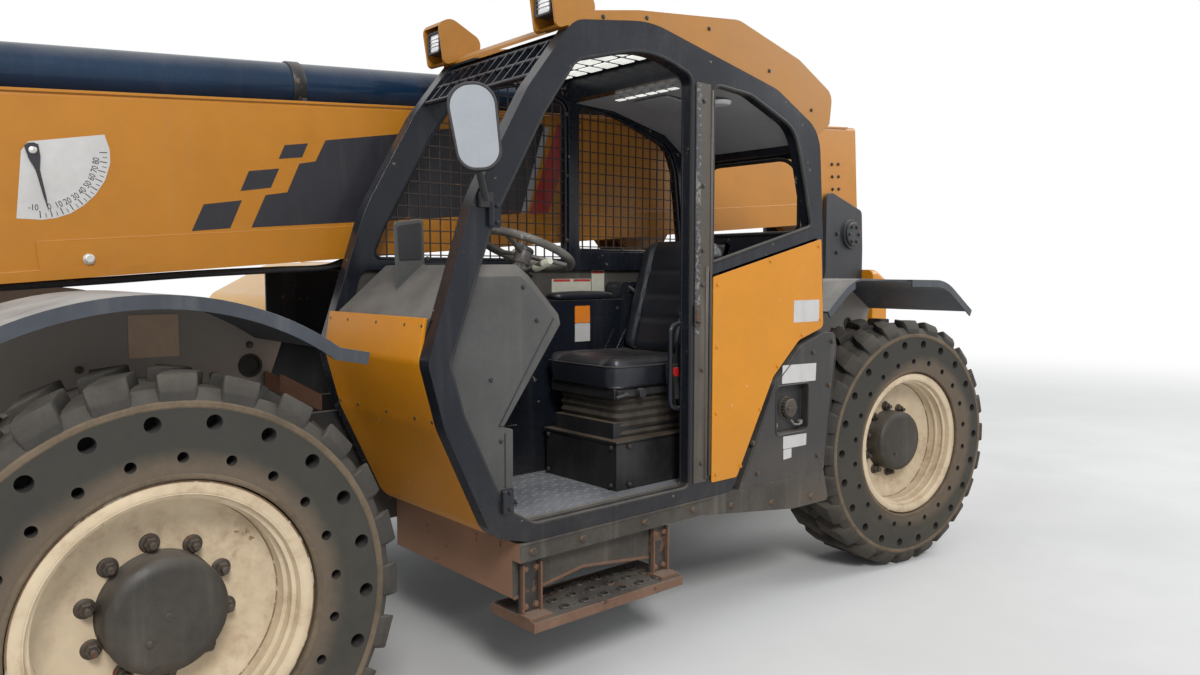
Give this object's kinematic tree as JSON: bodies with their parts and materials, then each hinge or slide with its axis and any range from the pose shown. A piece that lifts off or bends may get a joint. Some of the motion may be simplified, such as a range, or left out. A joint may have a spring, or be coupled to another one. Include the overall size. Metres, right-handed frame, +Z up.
{
  "type": "telehandler with a three-stage boom and pallet forks",
  "caption": "Telescopic handler: cab on the left, engine pod on the right, boom between them pivoted at the rear, pallet forks in front.",
  "frame": {"origin": "on the ground, under the centre of the machine's box at rest", "axes": "+X forward, +Y to the machine's left, +Z up"},
  "size_m": [7.6572, 2.666, 2.603],
  "materials": {
    "tyre_rubber": "dusty moulded rubber",
    "wheel_paint": "cream paint with rust",
    "black_paint": "worn satin black",
    "yellow_paint": "semi-gloss orange yellow",
    "yellow_plastic": "semi-gloss orange yellow",
    "black_plastic": "matt moulded",
    "grey_plastic": "matt, dusty",
    "bare_steel": "worn and rusty",
    "chrome_rod": "polished",
    "dark_steel": "satin",
    "cast_iron": "as cast",
    "seat_vinyl": "smooth vinyl"
  },
  "bodies": {
    "knuckle_front_left": {"knuckle_front_left": "black_paint"},
    "wheel_front_left": {"tyre_front_left": "tyre_rubber", "rim_front_left": "wheel_paint"},
    "knuckle_front_right": {"knuckle_front_right": "black_paint"},
    "wheel_front_right": {"tyre_front_right": "tyre_rubber", "rim_front_right": "wheel_paint"},
    "knuckle_rear_left": {"knuckle_rear_left": "black_paint"},
    "wheel_rear_left": {"tyre_rear_left": "tyre_rubber", "rim_rear_left": "wheel_paint"},
    "knuckle_rear_right": {"knuckle_rear_right": "black_paint"},
    "wheel_rear_right": {"tyre_rear_right": "tyre_rubber", "rim_rear_right": "wheel_paint"},
    "front_steering_rod": {"front_steering_rod": "chrome_rod"},
    "rear_steering_rod": {"rear_steering_rod": "chrome_rod"},
    "boom": {"outer_boom": "yellow_paint", "extension_barrel": "black_paint"},
    "middle_boom": {"middle_boom": "yellow_paint", "extension_rod": "chrome_rod"},
    "inner_boom": {"inner_boom": "yellow_paint", "boom_head": "yellow_paint"},
    "fork_carriage": {"fork_carriage": "black_paint", "forks": "bare_steel"},
    "lift_barrel": {"lift_barrel": "black_paint"},
    "lift_rod": {"lift_rod": "chrome_rod"},
    "tilt_barrel": {"tilt_barrel": "black_paint"},
    "tilt_rod": {"tilt_rod": "chrome_rod"},
    "engine_hood": {"engine_hood": "yellow_plastic"},
    "root": {"front_axle": "black_paint", "rear_axle": "black_paint", "chassis_frame": "black_paint", "chassis_members": "black_paint", "boom_tower": "black_paint", "counterweight": "yellow_paint", "cab_frame": "black_paint", "cab_right_frame": "black_paint", "cab_floor": "bare_steel", "cab_nose": "yellow_paint", "cab_right_wall": "yellow_paint", "cab_side_panel": "yellow_paint", "cab_rear_wall": "dark_steel", "cab_roof": "grey_plastic", "roof_covers": "yellow_plastic", "work_lights": "black_plastic", "roof_grille": "black_paint", "dashboard": "grey_plastic", "steering_wheel": "black_plastic", "seat_base": "black_paint", "seat_cushion": "seat_vinyl", "seat_backrest": "seat_vinyl", "side_console": "black_plastic", "mesh_guards": "black_paint", "side_rail": "black_paint", "entry_step": "black_paint", "side_tank": "black_paint", "mirror": "black_plastic", "engine_housing": "dark_steel", "engine_block": "cast_iron", "fenders": "black_plastic"}
  },
  "joints": [
    {"name": "steer_front_left", "type": "hinge", "parent": "root", "child": "knuckle_front_left", "pos_m": [1.01337, 0.8966, 0.65], "axis": [0, 0, 1], "range_deg": [-35, 35]},
    {"name": "spin_front_left", "type": "hinge", "parent": "knuckle_front_left", "child": "wheel_front_left", "pos_m": [1.01337, 1.0511, 0.65], "axis": [0, 1, 0], "continuous": true},
    {"name": "steer_front_right", "type": "hinge", "parent": "root", "child": "knuckle_front_right", "pos_m": [1.01337, -0.9034, 0.65], "axis": [0, 0, 1], "range_deg": [-35, 35]},
    {"name": "spin_front_right", "type": "hinge", "parent": "knuckle_front_right", "child": "wheel_front_right", "pos_m": [1.01337, -1.0579, 0.65], "axis": [0, 1, 0], "continuous": true},
    {"name": "steer_rear_left", "type": "hinge", "parent": "root", "child": "knuckle_rear_left", "pos_m": [-2.67663, 0.8966, 0.65], "axis": [0, 0, 1], "range_deg": [-26, 44]},
    {"name": "spin_rear_left", "type": "hinge", "parent": "knuckle_rear_left", "child": "wheel_rear_left", "pos_m": [-2.65246, 1.0492, 0.65], "axis": [0.1564, 0.9877, 0], "continuous": true},
    {"name": "steer_rear_right", "type": "hinge", "parent": "root", "child": "knuckle_rear_right", "pos_m": [-2.67663, -0.9034, 0.65], "axis": [0, 0, 1], "range_deg": [-26, 44]},
    {"name": "spin_rear_right", "type": "hinge", "parent": "knuckle_rear_right", "child": "wheel_rear_right", "pos_m": [-2.7008, -1.056, 0.65], "axis": [0.1564, 0.9877, 0], "continuous": true},
    {"name": "front_steering_rod_slide", "type": "slide", "parent": "root", "child": "front_steering_rod", "axis": [0, 1, 0], "range_m": [-0.1071, 0.1071]},
    {"name": "rear_steering_rod_slide", "type": "slide", "parent": "root", "child": "rear_steering_rod", "axis": [0, 1, 0], "range_m": [-0.0798, 0.1344]},
    {"name": "boom_lift", "type": "hinge", "parent": "root", "child": "boom", "pos_m": [-3.47163, 0.0246, 1.798], "axis": [0, -1, 0], "range_deg": [0, 75]},
    {"name": "boom_extend", "type": "slide", "parent": "boom", "child": "middle_boom", "axis": [0.997, 0, -0.0779], "range_m": [0, 4.3]},
    {"name": "inner_extend", "type": "slide", "parent": "middle_boom", "child": "inner_boom", "axis": [0.997, 0, -0.0779], "range_m": [0, 4.3]},
    {"name": "fork_tilt", "type": "hinge", "parent": "inner_boom", "child": "fork_carriage", "pos_m": [2.39863, 0.0246, 0.43033], "axis": [0, 1, 0], "range_deg": [-14, 100]},
    {"name": "lift_barrel_swing", "type": "hinge", "parent": "root", "child": "lift_barrel", "pos_m": [-3.03163, 0.0246, 0.86], "axis": [0, -1, 0], "range_deg": [0, 55.95]},
    {"name": "lift_rod_slide", "type": "slide", "parent": "lift_barrel", "child": "lift_rod", "axis": [0.8576, 0, 0.5144], "range_m": [0, 1.0678]},
    {"name": "tilt_barrel_swing", "type": "hinge", "parent": "inner_boom", "child": "tilt_barrel", "pos_m": [1.74863, 0.0246, 1.23033], "axis": [0, -1, 0], "range_deg": [-0.38, 2.1]},
    {"name": "tilt_rod_slide", "type": "slide", "parent": "tilt_barrel", "child": "tilt_rod", "axis": [0.7817, 0, -0.6237], "range_m": [-0.0696, 0.4907]},
    {"name": "hood_lid", "type": "hinge", "parent": "root", "child": "engine_hood", "pos_m": [-0.85663, -0.3384, 1.585], "axis": [-1, 0, 0], "range_deg": [0, 55]}
  ],
  "couplings": [
    {"joint": "steer_front_right", "follows": "steer_front_left", "ratio": 1},
    {"joint": "front_steering_rod_slide", "follows": "steer_front_left", "m_per_rad": -0.17371},
    {"joint": "steer_rear_right", "follows": "steer_rear_left", "ratio": 1},
    {"joint": "rear_steering_rod_slide", "follows": "steer_rear_left", "m_per_rad": 0.17371},
    {"joint": "inner_extend", "follows": "boom_extend", "ratio": 1},
    {"joint": "lift_barrel_swing", "follows": "boom_lift", "ratio": 0.73931},
    {"joint": "lift_rod_slide", "follows": "boom_lift", "m_per_rad": 0.81495},
    {"joint": "tilt_barrel_swing", "follows": "fork_tilt", "ratio": 0.02},
    {"joint": "tilt_rod_slide", "follows": "fork_tilt", "m_per_rad": 0.2806}
  ]
}
